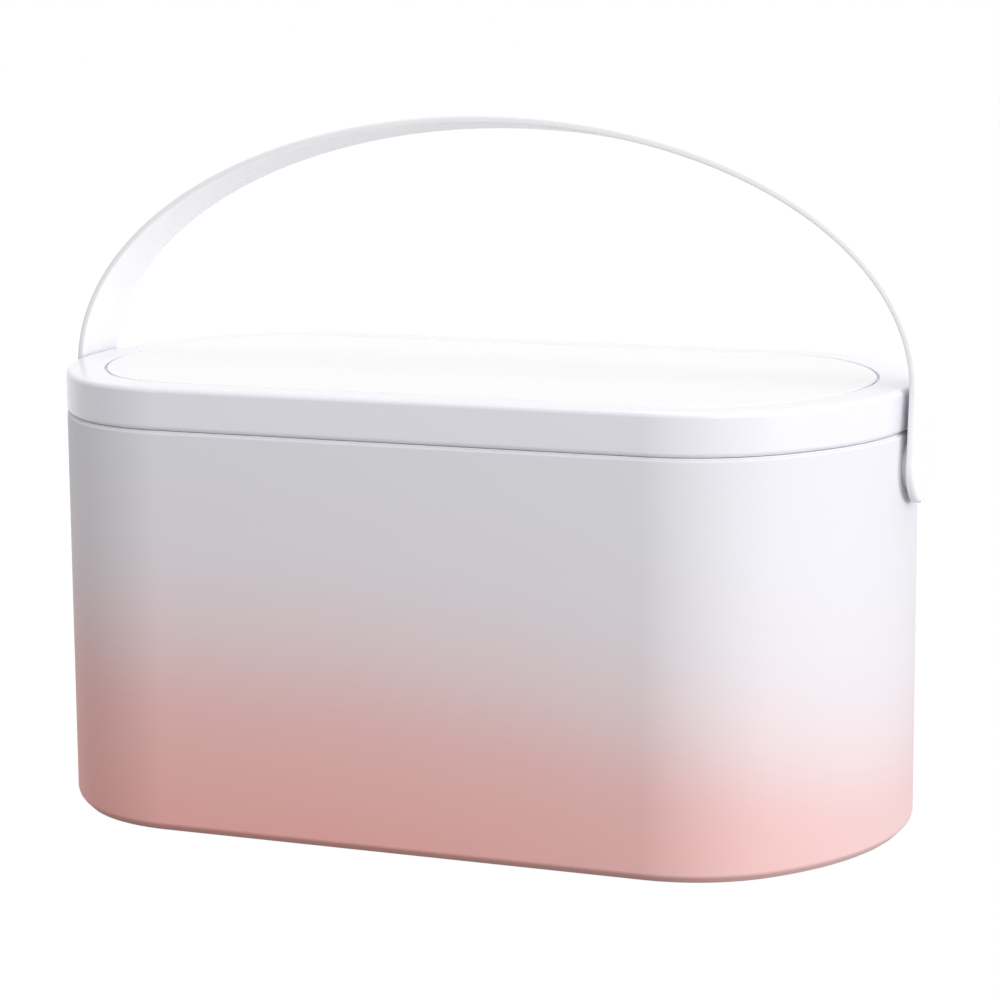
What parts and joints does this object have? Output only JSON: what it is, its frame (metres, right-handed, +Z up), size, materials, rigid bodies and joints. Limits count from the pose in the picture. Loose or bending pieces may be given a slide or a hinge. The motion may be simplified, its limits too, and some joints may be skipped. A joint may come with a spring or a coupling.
{
  "type": "lighted vanity case",
  "caption": "Oval vanity case with a hinged lid that carries a lighted mirror, loose dividers inside and an arched carrying handle on two side pivots.",
  "frame": {"origin": "on the floor under the middle of the case, at the centre of the foot pad's underside", "axes": "+X along the case to the right, -Y towards the front, +Z up"},
  "size_m": [0.2888, 0.1605, 0.2224],
  "materials": {
    "body_plastic": "satin",
    "white_plastic": "glossy",
    "matte_white": "matte",
    "frosted": "frosted",
    "mirror": "polished",
    "soft_pad": "matte",
    "metal": "polished",
    "steel": "plain",
    "board_green": "matte",
    "cell_wrap": "film",
    "led_yellow": "plain"
  },
  "bodies": {
    "case": {"body_shell": "body_plastic", "base_pad": "soft_pad", "floor_mat": "soft_pad", "divider_long": "matte_white", "divider_cross_left": "matte_white", "divider_cross_right": "matte_white", "pivot_bushing_left": "matte_white", "pivot_bushing_right": "matte_white", "friction_washer_left": "matte_white", "friction_washer_right": "matte_white", "hinge_body_leaf_left": "metal", "hinge_body_leaf_right": "metal", "hinge_pins": "steel", "hinge_body_screws": "steel", "catch_magnets_body": "steel"},
    "lid": {"lid_shell": "white_plastic", "lid_top_panel": "white_plastic", "mirror_bezel": "matte_white", "light_diffuser": "frosted", "mirror_glass": "mirror", "led_strip": "matte_white", "led_chips": "led_yellow", "battery": "cell_wrap", "control_board": "board_green", "usb_port": "steel", "touch_sensor": "steel", "catch_magnets_lid": "steel", "hinge_lid_leaf_left": "metal", "hinge_lid_leaf_right": "metal", "hinge_lid_screws": "steel", "bezel_screws": "steel"},
    "handle_body": {"handle": "white_plastic", "handle_arm_left": "white_plastic", "handle_arm_right": "white_plastic", "pivot_pin_left": "steel", "pivot_pin_right": "steel", "retaining_ring_left": "steel", "retaining_ring_right": "steel"}
  },
  "joints": [
    {"name": "handle_swing", "type": "hinge", "parent": "case", "child": "handle_body", "pos_m": [0, 0, 0.1175], "axis": [1, 0, 0], "range_deg": [-88, 102]},
    {"name": "lid_hinge", "type": "hinge", "parent": "case", "child": "lid", "pos_m": [0, 0.0804, 0.128], "axis": [-1, 0, 0], "range_deg": [0, 5]}
  ]
}
